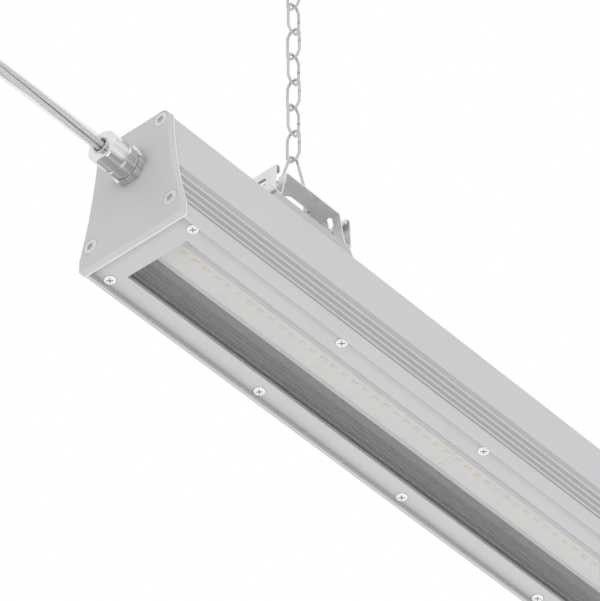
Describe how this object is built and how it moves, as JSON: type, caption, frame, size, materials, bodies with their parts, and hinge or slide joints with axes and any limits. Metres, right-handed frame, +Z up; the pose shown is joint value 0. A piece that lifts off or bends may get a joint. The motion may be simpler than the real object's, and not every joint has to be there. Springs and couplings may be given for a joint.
{
  "type": "led batten light",
  "caption": "Grey LED batten light with tapered ribbed housing, glass window, cable gland and two chain hangers.",
  "frame": {"origin": "On the ceiling plane, at the centre of the front hook plate", "axes": "+X along the lamp away from the cable gland, +Z up, +Y across the lamp so that the axes are right handed"},
  "size_m": [1.4381, 0.0862, 0.5204],
  "materials": {
    "lamp_paint": "satin powder coat",
    "pale_seal": "matt silicone",
    "stainless": "satin",
    "clear_glass": "polished",
    "black_rubber": "matt",
    "dark_plastic": "matt",
    "white_board": "solder mask",
    "emitter": "gel",
    "driver_case": "moulded",
    "terminal_plastic": "moulded",
    "lead_insulation": "smooth",
    "plated_brass": "nickel plated",
    "cable_sheath": "translucent",
    "tie_plastic": "moulded",
    "galvanised": "galvanised",
    "zinc_wire": "bright zinc"
  },
  "bodies": {
    "ceiling_hooks": {"ceiling_hook_front": "zinc_wire", "ceiling_hook_rear": "zinc_wire"},
    "top_link_front": {"chain_link_front_7": "zinc_wire"},
    "chain_front": {"chain_link_front_1": "zinc_wire", "chain_link_front_2": "zinc_wire", "chain_link_front_3": "zinc_wire", "chain_link_front_4": "zinc_wire", "chain_link_front_5": "zinc_wire", "chain_link_front_6": "zinc_wire"},
    "lamp": {"bail_front": "zinc_wire", "bail_rear": "zinc_wire", "bezel_frame": "lamp_paint", "bezel_screws": "stainless", "bracket_front": "galvanised", "bracket_rear": "galvanised", "bracket_rivets_front": "stainless", "bracket_rivets_rear": "stainless", "cable_coil": "cable_sheath", "cable_conductors": "lead_insulation", "cable_tail": "cable_sheath", "cable_ties": "tie_plastic", "driver_screws": "stainless", "end_cap_front": "lamp_paint", "end_cap_rear": "lamp_paint", "end_cap_screws_front": "stainless", "end_cap_screws_rear": "stainless", "end_gasket_front": "pale_seal", "end_gasket_rear": "pale_seal", "foot_screws_front": "stainless", "foot_screws_rear": "stainless", "gland_body": "plated_brass", "gland_locknut": "plated_brass", "gland_nut": "plated_brass", "gland_seal": "black_rubber", "glass_cover": "clear_glass", "glass_gasket": "black_rubber", "housing_extrusion": "lamp_paint", "inner_leads": "lead_insulation", "led_board_1": "white_board", "led_board_2": "white_board", "led_board_3": "white_board", "led_board_4": "white_board", "led_chips": "emitter", "led_driver": "driver_case", "mounting_foot_front": "lamp_paint", "mounting_foot_rear": "lamp_paint", "power_cable": "cable_sheath", "side_baffle_left": "dark_plastic", "side_baffle_right": "dark_plastic", "slot_nuts_front": "stainless", "slot_nuts_rear": "stainless", "terminal_block": "terminal_plastic"},
    "top_link_rear": {"chain_link_rear_7": "zinc_wire"},
    "chain_rear": {"chain_link_rear_1": "zinc_wire", "chain_link_rear_2": "zinc_wire", "chain_link_rear_3": "zinc_wire", "chain_link_rear_4": "zinc_wire", "chain_link_rear_5": "zinc_wire", "chain_link_rear_6": "zinc_wire"}
  },
  "joints": [
    {"name": "front_sway", "type": "hinge", "parent": "ceiling_hooks", "child": "top_link_front", "pos_m": [0, 0, -0.0276], "axis": [1, 0, 0], "range_deg": [-20, 20]},
    {"name": "rear_sway", "type": "hinge", "parent": "ceiling_hooks", "child": "top_link_rear", "pos_m": [0.854, 0, -0.0276], "axis": [1, 0, 0], "range_deg": [-20, 20]},
    {"name": "chain_front_swing", "type": "hinge", "parent": "top_link_front", "child": "chain_front", "pos_m": [0, 0, -0.0506], "axis": [0, 1, 0], "range_deg": [-25, 25]},
    {"name": "lamp_level", "type": "hinge", "parent": "chain_front", "child": "lamp", "pos_m": [0, 0, -0.1946], "axis": [0, 1, 0], "range_deg": [-25, 25]},
    {"name": "chain_rear_swing", "type": "hinge", "parent": "top_link_rear", "child": "chain_rear", "pos_m": [0.854, 0, -0.0506], "axis": [0, 1, 0], "range_deg": [-25, 25]}
  ],
  "couplings": [
    {"joint": "rear_sway", "follows": "front_sway", "ratio": 1},
    {"joint": "chain_front_swing", "follows": "lamp_level", "ratio": -1},
    {"joint": "chain_rear_swing", "follows": "lamp_level", "ratio": -1}
  ]
}
